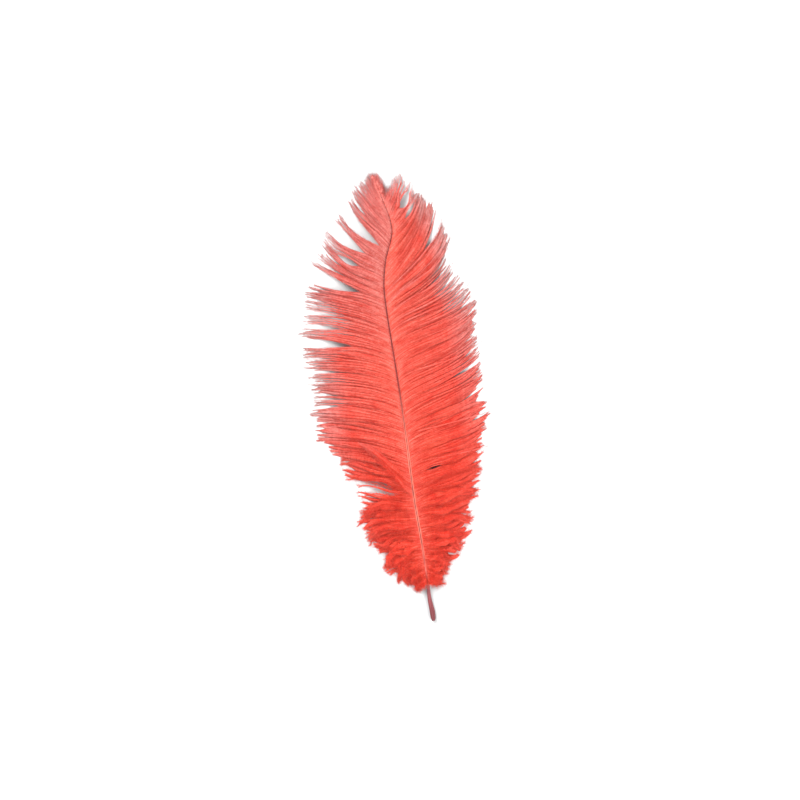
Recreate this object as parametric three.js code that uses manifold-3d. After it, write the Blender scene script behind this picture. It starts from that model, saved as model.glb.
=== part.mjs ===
// A dyed ostrich plume, 180 mm long, lying on a level surface with its shaft arched over it.
// It grew as one piece: a bare quill, the shaft that runs on from it to the tip, and a soft vane on
// each side, whose barbs hang together in pointed locks. Shaft and vanes are joined in one solid.
// Millimetres, +Z up. In the tables x and y are counted from the end of the quill, y towards the tip.
import * as THREE from "three";
import { mergeVertices } from "three/addons/utils/BufferGeometryUtils.js";
import Module from "manifold-3d";

// The shaft: y, then x, height of the centre line and radius there.
const SHAFT = [
  [0, 0, 1.06, 0.62],
  [1.2, -0.2, 1.06, 0.98],
  [4, -0.6, 1.06, 1.05],
  [9, -1.7, 1.3, 0.8],
  [15, -2.4, 1.9, 0.66],
  [30, -4.6, 3.9, 0.72],
  [50, -8, 6.2, 0.72],
  [70, -10.6, 7.8, 0.68],
  [90, -13.4, 8.8, 0.62],
  [110, -16.6, 8.9, 0.52],
  [125, -19, 8.3, 0.46],
  [135, -20, 7.6, 0.42],
  [145, -19.2, 6.8, 0.38],
  [155, -16.8, 5.9, 0.34],
  [160, -17.2, 5.3, 0.31],
  [168, -20, 4.2, 0.28],
  [175, -22.8, 3.2, 0.26],
  [179, -25, 2.6, 0.22],
];

// The locks of each side from the quill up: y of the root, x and y of the point, and the share of
// its length at which the lock parts from the next one.
const LEFT_LOCKS = [
  [17, -6, 11.8, 0.7],
  [20, -9.8, 14.2, 0.75],
  [23.5, -14, 15.4, 0.7],
  [27.5, -18.6, 19, 0.75],
  [31, -21, 22.5, 0.8],
  [34.5, -25, 29, 0.8],
  [38.5, -27.5, 33.8, 0.85],
  [42, -30.5, 38.2, 0.85],
  [46, -29.5, 44, 0.85],
  [49.5, -29.8, 50.5, 0.2],
  [53.5, -36, 58, 0.85],
  [56.5, -37.5, 63, 0.9],
  [60, -40.5, 68, 0.9],
  [64.5, -45.5, 71.8, 0.9],
  [69, -47.6, 75, 0.9],
  [73.5, -47.4, 79.6, 0.85],
  [77.5, -49.4, 83, 0.7],
  [82.5, -48.2, 88.6, 0.85],
  [87.5, -49.2, 93.4, 0.85],
  [92, -50, 97.6, 0.7],
  [97, -52.4, 102.8, 0.6],
  [102, -53.2, 107.5, 0.5],
  [108, -54.2, 115.8, 0.6],
  [113.5, -52.6, 122, 0.6],
  [117.5, -52.2, 127.4, 0.75],
  [122, -52, 132, 0.85],
  [126, -50.6, 136.6, 0.4],
  [131, -50.4, 142.2, 0.65],
  [135.5, -45, 152.5, 0.5],
  [140, -43.6, 156, 0.4],
  [145, -38.6, 163.6, 0.15],
  [150, -33.6, 168.6, 0.5],
  [155.5, -32.6, 174.8, 0.85],
  [161, -29.6, 176.8, 0.85],
  [167, -27.2, 179, 0.8],
  [173, -25.8, 180.2, 0.8],
];
const RIGHT_LOCKS = [
  [17, 1, 14.6, 0.6],
  [19.5, 3.8, 14.3, 0.6],
  [22.5, 5.4, 19, 0.75],
  [25.5, 7, 23, 0.8],
  [28.5, 10.4, 25.6, 0.75],
  [32, 12, 30.4, 0.85],
  [36, 14.6, 35.6, 0.85],
  [40.5, 15.8, 41.6, 0.85],
  [45, 17, 48, 0.75],
  [49.5, 18.6, 55, 0.85],
  [54, 19.4, 61, 0.9],
  [58.5, 20, 66.4, 0.9],
  [63, 20.2, 72, 0.9],
  [67, 21, 77.2, 0.85],
  [71, 22.6, 82, 0.75],
  [75.5, 21, 87.6, 0.85],
  [80, 19.4, 93, 0.9],
  [84, 19.6, 98.4, 0.85],
  [88, 19.8, 103.4, 0.65],
  [92.5, 18.2, 108.6, 0.85],
  [97, 17.2, 114, 0.9],
  [101.5, 16.8, 119.4, 0.9],
  [106, 17.2, 124.8, 0.85],
  [110.5, 17, 129.4, 0.85],
  [114.5, 14, 133.8, 0.9],
  [118.5, 10.6, 138.2, 0.9],
  [122.5, 6.6, 143.4, 0.7],
  [126, 6.4, 153.8, 0.85],
  [129.5, 4.4, 159, 0.65],
  [133.5, -0.2, 168, 0.85],
  [138, -4.2, 170.6, 0.6],
  [142.5, -7.2, 174.6, 0.85],
  [147, -9.8, 178.4, 0.6],
  [152, -12.9, 180.2, 0.7],
  [157.5, -16.4, 176.6, 0.8],
  [163, -18.2, 176, 0.75],
  [168.5, -20, 178.4, 0.8],
  [174, -22.8, 180.2, 0.8],
];
// Two locks on the left have flipped up together and lie across their neighbours.
const CROSSING_LOCKS = [
  [53, -27, 69.6, 0.75],
  [57, -30, 71.6, 0],
];
const CROSSING_HEIGHT = 6.8; // of their points over the surface
const END_ROOM = 2.4; // from the first or last lock's root to the end of the vane

// The way a lock leaves the shaft and the way it points: y of the root, degrees off the shaft, and
// degrees that its point is turned towards the plume's tip.
const LEFT_SWING = [
  [15, 110, -30],
  [40, 76, -12],
  [70, 58, -9],
  [105, 50, -4],
  [126, 52, 3],
  [136, 56, 22],
  [150, 52, 15],
  [180, 30, 6],
];
const RIGHT_SWING = [
  [15, 110, -35],
  [40, 72, -5],
  [70, 54, 3],
  [105, 46, 6],
  [140, 44, 20],
  [180, 26, 6],
];
const ROOT_HANDLE = 0.22; // share of a lock's length over which it keeps the way it left the shaft
const TIP_HANDLE = 0.4;
const ROOT_LIFT = 4; // a lock rises this much beside the shaft before it falls to the surface
const LYING_END = 150; // past this y the points of the locks lift off the surface
const END_SLOPE = 0.05;

const HALF_THICKNESS = [[0, 0.16], [0.15, 0.5], [0.5, 0.75], [0.85, 0.5], [1, 0]]; // share of length
const CREST_RISE = 1.1; // a lock's crest over the valleys beside it, more or less by CREST_VARIETY
const CREST_VARIETY = 0.4;
const EDGE_FALL = 0.7; // the edges of a lock hang this much below its crest line at its point
const NARROWING = 0.8; // below 1, a lock is fuller than a plain wedge where it has parted
const STEPS = 9; // along a lock, closer together towards its point
const STEP_CROWDING = 0.85;
const SHAFT_STEPS = 40;
const SHAFT_SIDES = 8;
const QUILL_STEPS = 10; // the first of the shaft's steps, along its bare end
const QUILL_LENGTH = 16;

const UP = new THREE.Vector3(0, 0, 1);
const { lerp, degToRad, clamp } = THREE.MathUtils;

// A smooth curve through a table's rows, whose first column says where each row lies.
function along(table, at) {
  const last = table.length - 1;
  let row = 0;
  while (row < last - 1 && table[row + 1][0] < at) row += 1;
  const slope = (k, column) => {
    const before = table[Math.max(k - 1, 0)];
    const after = table[Math.min(k + 1, last)];
    return (after[column] - before[column]) / (after[0] - before[0]);
  };
  const span = table[row + 1][0] - table[row][0];
  const t = clamp((at - table[row][0]) / span, 0, 1);
  return table[row].slice(1).map((value, k) => {
    const next = table[row + 1][k + 1];
    const leaving = slope(row, k + 1) * span;
    const arriving = slope(row + 1, k + 1) * span;
    const bend = 2 * value - 2 * next + leaving + arriving;
    return ((bend * t + 3 * (next - value) - 2 * leaving - arriving) * t + leaving) * t + value;
  });
}

function shaftPoint(y) {
  const [x, z] = along(SHAFT, y);
  return new THREE.Vector3(x, y, z);
}

// Turns a direction in plan, towards the left for a positive angle in degrees.
function turned(direction, degrees) {
  return direction.setZ(0).normalize().applyAxisAngle(UP, degToRad(degrees));
}

// The line of the barb that leaves the shaft at rootY: it rises slantwise, swings out, and comes
// down to tipHeight over the surface. Side is 1 on the left and -1 on the right.
function barbLine(locks, rootY, side, tipHeight) {
  const [tipX, tipY] = along(locks, rootY);
  const [leavingAngle, tipTurn] = along(side > 0 ? LEFT_SWING : RIGHT_SWING, rootY);
  const root = shaftPoint(rootY);
  const tip = new THREE.Vector3(tipX, tipY, tipHeight + END_SLOPE * Math.max(0, rootY - LYING_END));
  const length = root.distanceTo(tip);
  const leaving = turned(shaftPoint(rootY + 0.5).sub(shaftPoint(rootY - 0.5)), side * leavingAngle);
  const arriving = turned(tip.clone().sub(root), -side * tipTurn);
  const first = root.clone().addScaledVector(leaving, ROOT_HANDLE * length);
  const second = tip.clone().addScaledVector(arriving, -TIP_HANDLE * length);
  first.z = root.z + ROOT_LIFT + tipHeight / 4;
  second.z = tip.z;
  return new THREE.CubicBezierCurve3(root, first, second, tip);
}

// A sheet with a crest along each lock and a valley between two of them, which is cut in from the
// outside so that the locks part and end in points. Its two faces meet along every free edge.
function vaneGeometry(locks, side, tipHeight = 0) {
  const last = locks.length - 1;
  const partingStep = (k) => {
    if (k < 0 || k >= last) return 0;
    return Math.round(STEPS * locks[k][3] ** (1 / STEP_CROWDING));
  };
  const boundary = (k) => {
    if (k < 0) return locks[0][0] - END_ROOM;
    if (k >= last) return locks[last][0] + END_ROOM;
    return (locks[k][0] + locks[k + 1][0]) / 2;
  };
  const corner = (k, column, step, layer) => {
    const share = (step / STEPS) ** STEP_CROWDING;
    if (step === STEPS) return barbLine(locks, locks[k][0], side, tipHeight).getPoint(share);
    const rise = CREST_RISE * (1 + CREST_VARIETY * Math.sin(2.4 * k)) * Math.sin(Math.PI * share);
    const half = along(HALF_THICKNESS, share)[0];
    if (column === 0) {
      const crest = barbLine(locks, locks[k][0], side, tipHeight).getPoint(share);
      crest.z = Math.max(0, crest.z + (layer > 0 ? half + rise : -half));
      return crest;
    }
    const valley = column < 0 ? k - 1 : k;
    const parting = partingStep(valley);
    const width = step <= parting ? 1 : ((STEPS - step) / (STEPS - parting)) ** NARROWING;
    const rootY = lerp(locks[k][0], boundary(valley), width);
    const edge = barbLine(locks, rootY, side, tipHeight).getPoint(share);
    const open = step >= parting;
    edge.z = Math.max(0, edge.z - EDGE_FALL * share + (open ? 0 : layer * half));
    return edge;
  };
  const corners = [];
  const triangle = (...points) => corners.push(...(side > 0 ? points : points.reverse()));
  const quad = (a, b, c, d) => {
    triangle(a, b, c);
    triangle(a, c, d);
  };
  locks.forEach((_, k) => {
    for (const column of [-1, 0]) {
      const near = (step, layer) => corner(k, column, step, layer);
      const far = (step, layer) => corner(k, column + 1, step, layer);
      for (let step = 0; step < STEPS; step += 1) {
        quad(near(step, 1), far(step, 1), far(step + 1, 1), near(step + 1, 1));
        quad(near(step + 1, -1), far(step + 1, -1), far(step, -1), near(step, -1));
      }
      quad(near(0, -1), far(0, -1), far(0, 1), near(0, 1));
    }
  });
  return withoutSlivers(mergeVertices(new THREE.BufferGeometry().setFromPoints(corners), 1e-4));
}

// Drops the triangles that have closed up to a line where corners were merged.
function withoutSlivers(geometry) {
  const kept = [];
  const index = geometry.index.array;
  for (let i = 0; i < index.length; i += 3) {
    const [a, b, c] = index.slice(i, i + 3);
    if (a !== b && b !== c && c !== a) kept.push(a, b, c);
  }
  return geometry.setIndex(kept);
}

function shaftGeometry() {
  const end = SHAFT[SHAFT.length - 1][0];
  const geometry = new THREE.CylinderGeometry(1, 1, SHAFT_STEPS, SHAFT_SIDES, SHAFT_STEPS);
  const position = geometry.getAttribute("position");
  for (let i = 0; i < position.count; i += 1) {
    const step = Math.round(SHAFT_STEPS / 2 - position.getY(i));
    const y = step < QUILL_STEPS
      ? (QUILL_LENGTH * step) / QUILL_STEPS
      : lerp(QUILL_LENGTH, end, (step - QUILL_STEPS) / (SHAFT_STEPS - QUILL_STEPS));
    const [x, z, radius] = along(SHAFT, y);
    position.setXYZ(i, x - position.getX(i) * radius, y, Math.max(0, z + position.getZ(i) * radius));
  }
  geometry.deleteAttribute("normal");
  geometry.deleteAttribute("uv");
  return mergeVertices(geometry, 1e-4);
}

const wasm = await Module();
wasm.setup();

function solid(geometry) {
  return new wasm.Manifold(
    new wasm.Mesh({
      numProp: 3,
      vertProperties: geometry.getAttribute("position").array,
      triVerts: new Uint32Array(geometry.index.array),
    }),
  );
}

function geometryOf(manifold) {
  const mesh = manifold.getMesh();
  return new THREE.BufferGeometry()
    .setAttribute("position", new THREE.BufferAttribute(mesh.vertProperties, 3))
    .setIndex(new THREE.BufferAttribute(mesh.triVerts, 1));
}

const joined = solid(shaftGeometry())
  .add(solid(vaneGeometry(LEFT_LOCKS, 1)))
  .add(solid(vaneGeometry(RIGHT_LOCKS, -1)))
  .add(solid(vaneGeometry(CROSSING_LOCKS, 1, CROSSING_HEIGHT)));
// Small hollows closed off between the shaft and the vanes are filled: the outer skin is kept.
const outerSkin = joined.decompose().reduce((a, b) => (b.volume() > a.volume() ? b : a));

const dyedBarbs = new THREE.MeshStandardMaterial({ color: 0xf0604e, roughness: 0.8, metalness: 0 });
const plume = new THREE.Mesh(geometryOf(outerSkin), dyedBarbs);
plume.name = "plume";

// The origin is on the surface under the middle of the plume.
plume.geometry.computeBoundingBox();
const { min, max } = plume.geometry.boundingBox;
plume.position.set(-(min.x + max.x) / 2, -(min.y + max.y) / 2, -min.z);

const group = new THREE.Group();
group.add(plume);
export default group;
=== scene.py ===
# %% [markdown]
# # A dyed ostrich plume
#
# The plume lies on a pale table and the camera looks straight down on it. The real one grew as one
# piece: a bare quill that runs on as the shaft, soft barbs down both sides, and thousands of
# hair-thin barbules on each barb, which make it fluffy. The solid from the CAD step has the shaft
# and the two vanes cut into pointed locks. Here the shaft, the barbs and the barbules are made as
# fine meshes in its place, from nearly the same tables of locks, fitted a little more closely.

import math

import bpy
import numpy as np
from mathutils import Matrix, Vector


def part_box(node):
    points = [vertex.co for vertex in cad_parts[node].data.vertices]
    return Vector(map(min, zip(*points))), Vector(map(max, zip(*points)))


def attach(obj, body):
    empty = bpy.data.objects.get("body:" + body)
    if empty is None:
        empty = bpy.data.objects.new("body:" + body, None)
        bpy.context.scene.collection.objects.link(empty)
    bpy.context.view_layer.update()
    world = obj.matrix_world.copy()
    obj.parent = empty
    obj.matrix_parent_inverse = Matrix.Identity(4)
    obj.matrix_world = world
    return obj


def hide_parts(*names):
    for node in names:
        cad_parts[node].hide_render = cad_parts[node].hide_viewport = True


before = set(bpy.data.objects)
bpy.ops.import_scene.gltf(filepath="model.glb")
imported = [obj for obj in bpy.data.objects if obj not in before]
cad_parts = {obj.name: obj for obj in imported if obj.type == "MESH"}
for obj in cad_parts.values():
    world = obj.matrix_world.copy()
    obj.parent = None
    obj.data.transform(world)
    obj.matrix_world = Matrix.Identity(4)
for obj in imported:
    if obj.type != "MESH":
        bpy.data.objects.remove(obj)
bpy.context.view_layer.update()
low, high = (np.array(corner) * 1000 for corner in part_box("plume"))
print("plume in the frame, mm:", np.round(low, 1), np.round(high, 1))

# %% [markdown]
# ## Where everything grows
#
# A feather is easiest to describe from its shaft outwards. One table gives the shaft's course and
# height. One table for each side gives the locks: where each one leaves the shaft and where its
# point lies. Everything else is worked out between these rows, so a barb anywhere on the shaft
# knows its way. Lengths are in millimetres, counted from the end of the quill.

# %% The shaft
# y, then x, height of the centre line and radius there
SHAFT = [
    [0, 0, 1.06, 0.62],
    [1.2, -0.2, 1.06, 0.98],
    [4, -0.6, 1.06, 1.05],
    [9, -1.7, 1.3, 0.8],
    [15, -2.4, 1.9, 0.66],
    [30, -4.6, 3.9, 0.72],
    [50, -8, 6.2, 0.72],
    [70, -10.6, 7.8, 0.68],
    [90, -13.4, 8.8, 0.62],
    [110, -16.6, 8.9, 0.52],
    [125, -19, 8.3, 0.46],
    [135, -20, 7.6, 0.42],
    [145, -19.2, 6.8, 0.38],
    [155, -16.8, 5.9, 0.34],
    [160, -17.2, 5.3, 0.31],
    [168, -20, 4.2, 0.28],
    [175, -22.8, 3.2, 0.26],
    [179, -25, 2.6, 0.22],
]
print("the shaft ends", SHAFT[-1][0], "mm from the end of the quill")

# %% Locks on the left
# y of the root, x and y of the lock's point, and the share of its length at which it parts from
# the next lock
LEFT_LOCKS = [
    [17, -6, 11.8, 0.7],
    [20, -9.8, 14.2, 0.75],
    [23.5, -14, 15.4, 0.7],
    [27.5, -19.2, 19.6, 0.85],
    [31, -21, 22.5, 0.8],
    [34.5, -25, 29, 0.8],
    [38.5, -27.5, 33.8, 0.85],
    [42, -30.5, 38.2, 0.85],
    [46, -29.5, 44, 0.85],
    [49.5, -29.8, 50.5, 0.2],
    [53.5, -36, 58, 0.85],
    [56.5, -37.5, 63, 0.9],
    [60, -41.6, 67.6, 0.9],
    [64.5, -46.6, 71.6, 0.9],
    [69, -47.6, 75, 0.9],
    [73.5, -47.4, 79.6, 0.85],
    [77.5, -49.4, 83, 0.7],
    [82.5, -48.2, 88.6, 0.85],
    [87.5, -49.2, 93.4, 0.85],
    [92, -50, 97.6, 0.7],
    [97, -52.4, 102.8, 0.6],
    [102, -53.2, 107.5, 0.5],
    [108, -54.2, 115.8, 0.6],
    [113.5, -52.6, 122, 0.6],
    [117.5, -52.2, 127.4, 0.75],
    [122, -52, 132, 0.85],
    [126, -50.6, 136.6, 0.4],
    [129.8, -49.8, 144, 0.8],
    [132.2, -46.4, 147.8, 0.85],
    [135.5, -45, 152.5, 0.92],
    [140, -43.6, 156, 0.4],
    [145, -38.6, 163.6, 0.2],
    [150, -33.8, 168.8, 0.62],
    [155.5, -32.6, 174.8, 0.85],
    [161, -29.6, 176.8, 0.85],
    [167, -27.2, 179, 0.8],
    [173, -25.8, 180.2, 0.9],
    [176.5, -24.4, 180.1, 0.8],
]
# two locks that are flipped up, with their points as high as this, and lie across the others
CROSSING_LOCKS = [[53, -27, 69.6, 0.75], [57, -30, 71.6, 0]]
CROSSING_HEIGHT = 6.8
print(len(LEFT_LOCKS), "locks on the left and", len(CROSSING_LOCKS), "across them")

# %% Locks on the right
# the same four values
RIGHT_LOCKS = [
    [17, 1, 14.6, 0.6],
    [19.5, 3.8, 14.3, 0.6],
    [22.5, 5.4, 19, 0.75],
    [25.5, 7, 23, 0.8],
    [27.8, 10.4, 25.6, 0.75],
    [30.8, 12, 30.4, 0.85],
    [34.2, 14.6, 35.6, 0.85],
    [38.2, 15.8, 41.6, 0.85],
    [42.3, 17, 48, 0.75],
    [46.5, 18.6, 55, 0.85],
    [50.7, 19.4, 61, 0.9],
    [55, 20, 66.4, 0.9],
    [59.4, 20.2, 72, 0.9],
    [63.4, 21, 77.2, 0.85],
    [67.6, 22.6, 82, 0.75],
    [71.6, 21, 87.6, 0.85],
    [75.8, 19.4, 93, 0.9],
    [79.8, 19.6, 98.4, 0.85],
    [84, 19.8, 103.4, 0.65],
    [88.8, 18.2, 108.6, 0.85],
    [94, 17.2, 114, 0.9],
    [99.4, 16.8, 119.4, 0.9],
    [104, 17.2, 124.8, 0.85],
    [108.8, 17, 129.4, 0.85],
    [113, 14, 133.8, 0.9],
    [117.4, 10.6, 138.2, 0.9],
    [121.8, 6.6, 143.4, 0.9],
    [124.4, 4.6, 148.2, 0.9],
    [126, 6.4, 153.8, 0.85],
    [129.5, 4.4, 159, 0.65],
    [133.5, -0.2, 168, 0.75],
    [139, -3.6, 170, 0.92],
    [145, -4.4, 170.8, 0.95],
    [151, -5, 171.4, 0.95],
    [156, -6.2, 172.8, 0.92],
    [160, -8.6, 176, 0.85],
    [163.5, -12.8, 180.2, 0.85],
    [166.5, -16.2, 178.4, 0.7],
    [169.5, -18.6, 174.6, 0.75],
    [172, -20.8, 178, 0.8],
    [175, -22.8, 180.2, 0.9],
    [177, -23.7, 180.1, 0.8],
]
# how far a side's first and last lock reach along the shaft beyond their own rows
END_ROOM = 2.4
print(len(RIGHT_LOCKS), "locks on the right")

# %% Swing of the barbs
# y of the root, degrees off the shaft, and degrees that the point is turned towards the tip
LEFT_SWING = [
    [15, 110, -30],
    [40, 76, -12],
    [70, 56, -12],
    [105, 46, -13],
    [117, 47, -10],
    [128, 52, 3],
    [136, 56, 22],
    [150, 52, 15],
    [180, 30, 6],
]
RIGHT_SWING = [
    [15, 110, -35],
    [40, 72, -2],
    [60, 55, 6],
    [80, 48, 13],
    [105, 43, 18],
    [140, 44, 20],
    [180, 26, 6],
]
for side_name, (_, off_shaft, _) in (("left", LEFT_SWING[-1]), ("right", RIGHT_SWING[-1])):
    print("at the tip, barbs on the", side_name, "leave the shaft at", off_shaft, "degrees")

# %% A smooth curve through a table
def along(table, at):
    """The table's other columns at the places `at` in its first column, on a smooth curve."""
    rows = np.array(table, dtype=float)
    place = rows[:, 0]
    slopes = np.empty_like(rows)
    slopes[1:-1] = (rows[2:] - rows[:-2]) / (place[2:] - place[:-2])[:, None]
    slopes[0] = (rows[1] - rows[0]) / (place[1] - place[0])
    slopes[-1] = (rows[-1] - rows[-2]) / (place[-1] - place[-2])
    at = np.clip(np.asarray(at, dtype=float), place[0], place[-1])
    row = np.clip(np.searchsorted(place, at) - 1, 0, len(rows) - 2)
    span = (place[row + 1] - place[row])[..., None]
    t = (at - place[row])[..., None] / span
    value, following = rows[row, 1:], rows[row + 1, 1:]
    leaving, arriving = slopes[row, 1:] * span, slopes[row + 1, 1:] * span
    bend = 2 * value - 2 * following + leaving + arriving
    return ((bend * t + 3 * (following - value) - 2 * leaving - arriving) * t + leaving) * t + value


def smooth_step(start, end, value):
    """0 before the start, 1 after the end, and an even passage between them."""
    t = np.clip((value - start) / (end - start), 0, 1)
    return t * t * (3 - 2 * t)

# %% Places in the frame
def shaft_point(y):
    """Points on the centre line of the shaft."""
    x_and_z = along(SHAFT, y)
    return np.stack([x_and_z[..., 0], np.asarray(y, dtype=float), x_and_z[..., 1]], axis=-1)


# The CAD step put the middle of the plume's box over the origin. The leftmost and rightmost points
# and the highest one are points of locks, so the tables give the same middle.
points_x = [lock[1] for lock in LEFT_LOCKS + RIGHT_LOCKS]
points_y = [lock[2] for lock in LEFT_LOCKS + RIGHT_LOCKS]
QUILL_END = np.array([-(min(points_x) + max(points_x)) / 2, -max(points_y) / 2, 0.0])
print("end of the quill, mm:", np.round(QUILL_END, 2), "box:", np.round(low, 2))


def metres(points):
    """Millimetres from the end of the quill, as metres in the frame."""
    return (points + QUILL_END) / 1000

# %% [markdown]
# ## The way of one barb
#
# A barb leaves the shaft slantwise, rises a little, swings out and comes down to trail along the
# table. A Bezier curve with its two handles set by the tables does just that. The function takes
# arrays, so thousands of points on hundreds of barbs are worked out in one go, which is much faster
# in Python than a loop.

# %% Barb lines
# the handles as shares of the barb's length, how far above the root the first one lies, and how
# much higher it lies on a barb that is flipped up, as a share of the height of its point
ROOT_HANDLE = 0.22
TIP_HANDLE = 0.4
ROOT_LIFT = 4
FLIPPED_LIFT = 0.25
# barbs that leave the shaft beyond this y have their points off the table, by this slope
LYING_END = 150
END_SLOPE = 0.05
# between these two y the barbs come down to this share of their height, so that the shaft shows
# at the plume's tip
LOW_END = (156, 172)
LOW_HEIGHT = 0.25


def turned(directions, degrees):
    """Directions in plan, turned towards the left by as many degrees."""
    flat = directions[..., :2] / np.linalg.norm(directions[..., :2], axis=-1, keepdims=True)
    cos, sin = np.cos(np.radians(degrees)), np.sin(np.radians(degrees))
    x = flat[..., 0] * cos - flat[..., 1] * sin
    y = flat[..., 0] * sin + flat[..., 1] * cos
    return np.stack([x, y, np.zeros_like(x)], axis=-1)


def height_kept(root_y):
    """The share of its height that a barb keeps: all of it, except near the plume's tip."""
    return 1 - (1 - LOW_HEIGHT) * smooth_step(*LOW_END, root_y)


def barb_points(locks, root_y, share, side, tip_height):
    """Points at those shares of the lengths of the barbs that leave the shaft at root_y."""
    tip_place = along(locks, root_y)
    swing = along(LEFT_SWING if side > 0 else RIGHT_SWING, root_y)
    root = shaft_point(root_y)
    tip_z = tip_height + END_SLOPE * np.maximum(0, root_y - LYING_END)
    tip = np.stack([tip_place[..., 0], tip_place[..., 1], tip_z], axis=-1)
    length = np.linalg.norm(tip - root, axis=-1, keepdims=True)
    leaving = turned(shaft_point(root_y + 0.5) - shaft_point(root_y - 0.5), side * swing[..., 0])
    arriving = turned(tip - root, -side * swing[..., 1])
    first = root + leaving * ROOT_HANDLE * length
    second = tip - arriving * TIP_HANDLE * length
    first[..., 2] = root[..., 2] + ROOT_LIFT * height_kept(root_y) + FLIPPED_LIFT * tip_height
    second[..., 2] = tip_z
    t = share[..., None]
    return ((1 - t) ** 3 * root + 3 * (1 - t) ** 2 * t * first
            + 3 * (1 - t) * t**2 * second + t**3 * tip)

# %% [markdown]
# ## Barbs in locks
#
# On a real plume each barb is free, but neighbours cling together in streaks of two or so, and
# the streaks hang together in locks that part near the edge. Barbs could be grown as hair, but hair
# doesn't come through an export, so they are computed as plain points. Clinging is done by sliding
# a barb's place on the shaft table towards the middle of its streak, and of its lock, as it goes
# outwards, so that a barb always stays on a course that a real one would take.

# %% Locks
# millimetres of shaft from barb to barb, and how uneven that is
BARB_PITCH = 0.62
ROOT_SCATTER = 0.2
JOINTS = 20
# below 1 the joints of a barb stand closer together towards its point
JOINT_SPREAD = 0.9
# a side's first and last lock have no neighbour beyond them and are free from close to the shaft
FREE_PARTING = 0.05
# the share at which locks part, then how much narrower each one gets beyond
NARROWING = [[0, 0.8], [0.3, 0.72], [0.5, 0.42], [0.65, 0.3], [0.8, 0.18], [1, 0.15]]


def places_in_locks(table, root_y):
    """For each barb: its lock, how far from the lock's middle it stands, and where it parts."""
    crest = table[:, 0]
    middles = (crest[1:] + crest[:-1]) / 2
    borders = np.concatenate([[crest[0] - END_ROOM], middles, [crest[-1] + END_ROOM]])
    lock = np.clip(np.searchsorted(borders, root_y) - 1, 0, len(crest) - 1)
    upper = root_y > crest[lock]
    border = np.where(upper, borders[lock + 1], borders[lock])
    across = np.abs((root_y - crest[lock]) / (border - crest[lock]))[:, None]
    partings = np.concatenate([[FREE_PARTING], table[:-1, 3], [FREE_PARTING]])
    parting = np.where(upper, partings[lock + 1], partings[lock])[:, None]
    return lock, across, parting

# %% Streaks
# millimetres of shaft from streak to streak, how uneven that is, and how tightly barbs cling
STREAK = 1.2
STREAK_SCATTER = 0.3
CLINGING = 0.4
# shares of the barb's length over which clinging grows, and over which it eases by this much
CLINGING_GROWTH = (0.08, 0.5)
CLINGING_END = (0.7, 1)
EASING = 0.6
# the y between which barbs get looser, and by how much: both sides near the plume's tip, and the
# right side along its upper edge
LOOSE_TOP = (135, 150)
TOP_LOOSENESS = 0.5
FRINGE_START = (104, 110)
FRINGE_END = (122, 127)
FRINGE_LOOSENESS = 0.75


def clinging_of(share, root_y, side):
    """How far a barb is drawn from its own course to the middle of its streak."""
    eased = 1 - EASING * smooth_step(*CLINGING_END, share)
    clinging = CLINGING * smooth_step(*CLINGING_GROWTH, share) * eased
    clinging = clinging * (1 - TOP_LOOSENESS * smooth_step(*LOOSE_TOP, root_y)[:, None])
    if side < 0:
        fringe = smooth_step(*FRINGE_START, root_y) * (1 - smooth_step(*FRINGE_END, root_y))
        clinging = clinging * (1 - FRINGE_LOOSENESS * fringe[:, None])
    return clinging

# %% Slits
# Slits between barbs: side, y of the root, shares where it opens and closes, how far each of its
# edges is pushed away, and how far both are shifted towards the tip. One that closes beyond 1 is
# open at the edge of the vane.
SLITS = [
    (1, 137.6, 0.42, 0.8, 1.6, 0),
    (1, 127.9, 0.4, 1.6, 1.2, -0.3),
    (1, 50.9, 0.15, 1.3, 1.2, 0),
    (-1, 57.8, 0.23, 0.56, 0.52, 0),
    (-1, 156, 0.4, 0.85, 1.3, 0),
    (-1, 159.8, 0.42, 0.82, 1.4, 0),
]
# millimetres of shaft over which barbs beside a slit take less and less part in it
SLIT_EDGE = 1.6


def beside_slits(course, share, root_y, side, slits):
    """The courses moved out of the slits on that side, and how bare of down each place is."""
    bare = np.zeros_like(share)
    for slit_side, slit_y, opening, closing, push, shift in slits:
        if slit_side != side:
            continue
        middle, half = (opening + closing) / 2, (closing - opening) / 2
        open_here = np.clip(1 - ((share - middle) / half) ** 2, 0, 1)
        away = (root_y - slit_y)[:, None]
        near = open_here * np.exp(-np.abs(away) / SLIT_EDGE)
        course = course + (np.sign(away) * push + shift) * near
        bare = np.maximum(bare, near)
    return course, bare

# %% How the barbs differ along the shaft
# y of the root, then how ragged the ends are, how far barbs wave and how many barbules they have
NATURE = [
    [15, 0.2, 0.9, 1.5],
    [40, 0.14, 1.3, 1.4],
    [60, 0.1, 0.7, 1.15],
    [100, 0.07, 0.32, 1],
    [125, 0.07, 0.22, 0.9],
    [145, 0.09, 0.15, 0.75],
    [180, 0.1, 0.1, 0.6],
]
# y of the root, then how much down the outer halves of the barbs there have kept; above 1 it
# stays thick right to the edge
LEFT_FULLNESS = [
    [15, 1], [75, 1], [81, 0.6], [87, 0.9], [91, 0.6], [96, 0.9], [102, 1], [107, 0.6],
    [113, 0.45], [118, 0.75], [122, 1.2], [131, 0.9], [140, 0.7], [150, 0.85], [160, 0.6], [180, 0.55],
]
RIGHT_FULLNESS = [
    [15, 1], [82, 1], [88.5, 0.65], [94, 1.3], [104, 1.4], [109, 1.1], [114, 1.12], [119, 1.12],
    [124, 1.15], [129, 1.5], [148, 1.5], [154, 1.1], [160, 0.6], [168, 0.5], [180, 0.55],
]
raggedest = max(NATURE, key=lambda row: row[1])
print("the ends are most ragged at y", raggedest[0])

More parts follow.
